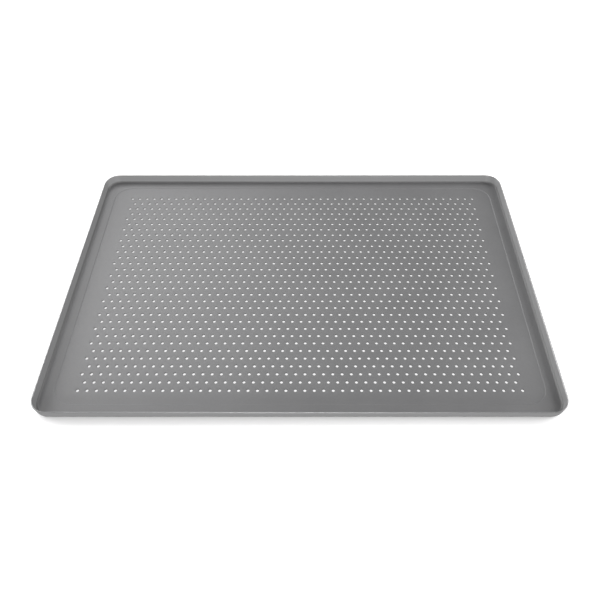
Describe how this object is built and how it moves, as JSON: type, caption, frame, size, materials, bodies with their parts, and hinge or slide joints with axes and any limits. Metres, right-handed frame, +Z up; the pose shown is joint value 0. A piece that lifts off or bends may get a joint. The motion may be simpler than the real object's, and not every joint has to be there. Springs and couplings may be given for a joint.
{
  "type": "perforated baking tray",
  "caption": "Flat rectangular perforated baking tray with rounded corners, a fine step round its floor and a low leaning rim.",
  "frame": {"origin": "centre of the tray on the surface that it stands on, under the perforated panel", "axes": "+X along the long side, +Y along the short side towards the back, +Z up out of the tray"},
  "size_m": [0.6, 0.4, 0.0145],
  "materials": {
    "aluminium_sheet": "fine matte grey, as rolled and pressed, with a fully rounded top edge"
  },
  "bodies": {
    "root": {"perforated_panel": "aluminium_sheet", "raised_rim": "aluminium_sheet"}
  },
  "joints": []
}
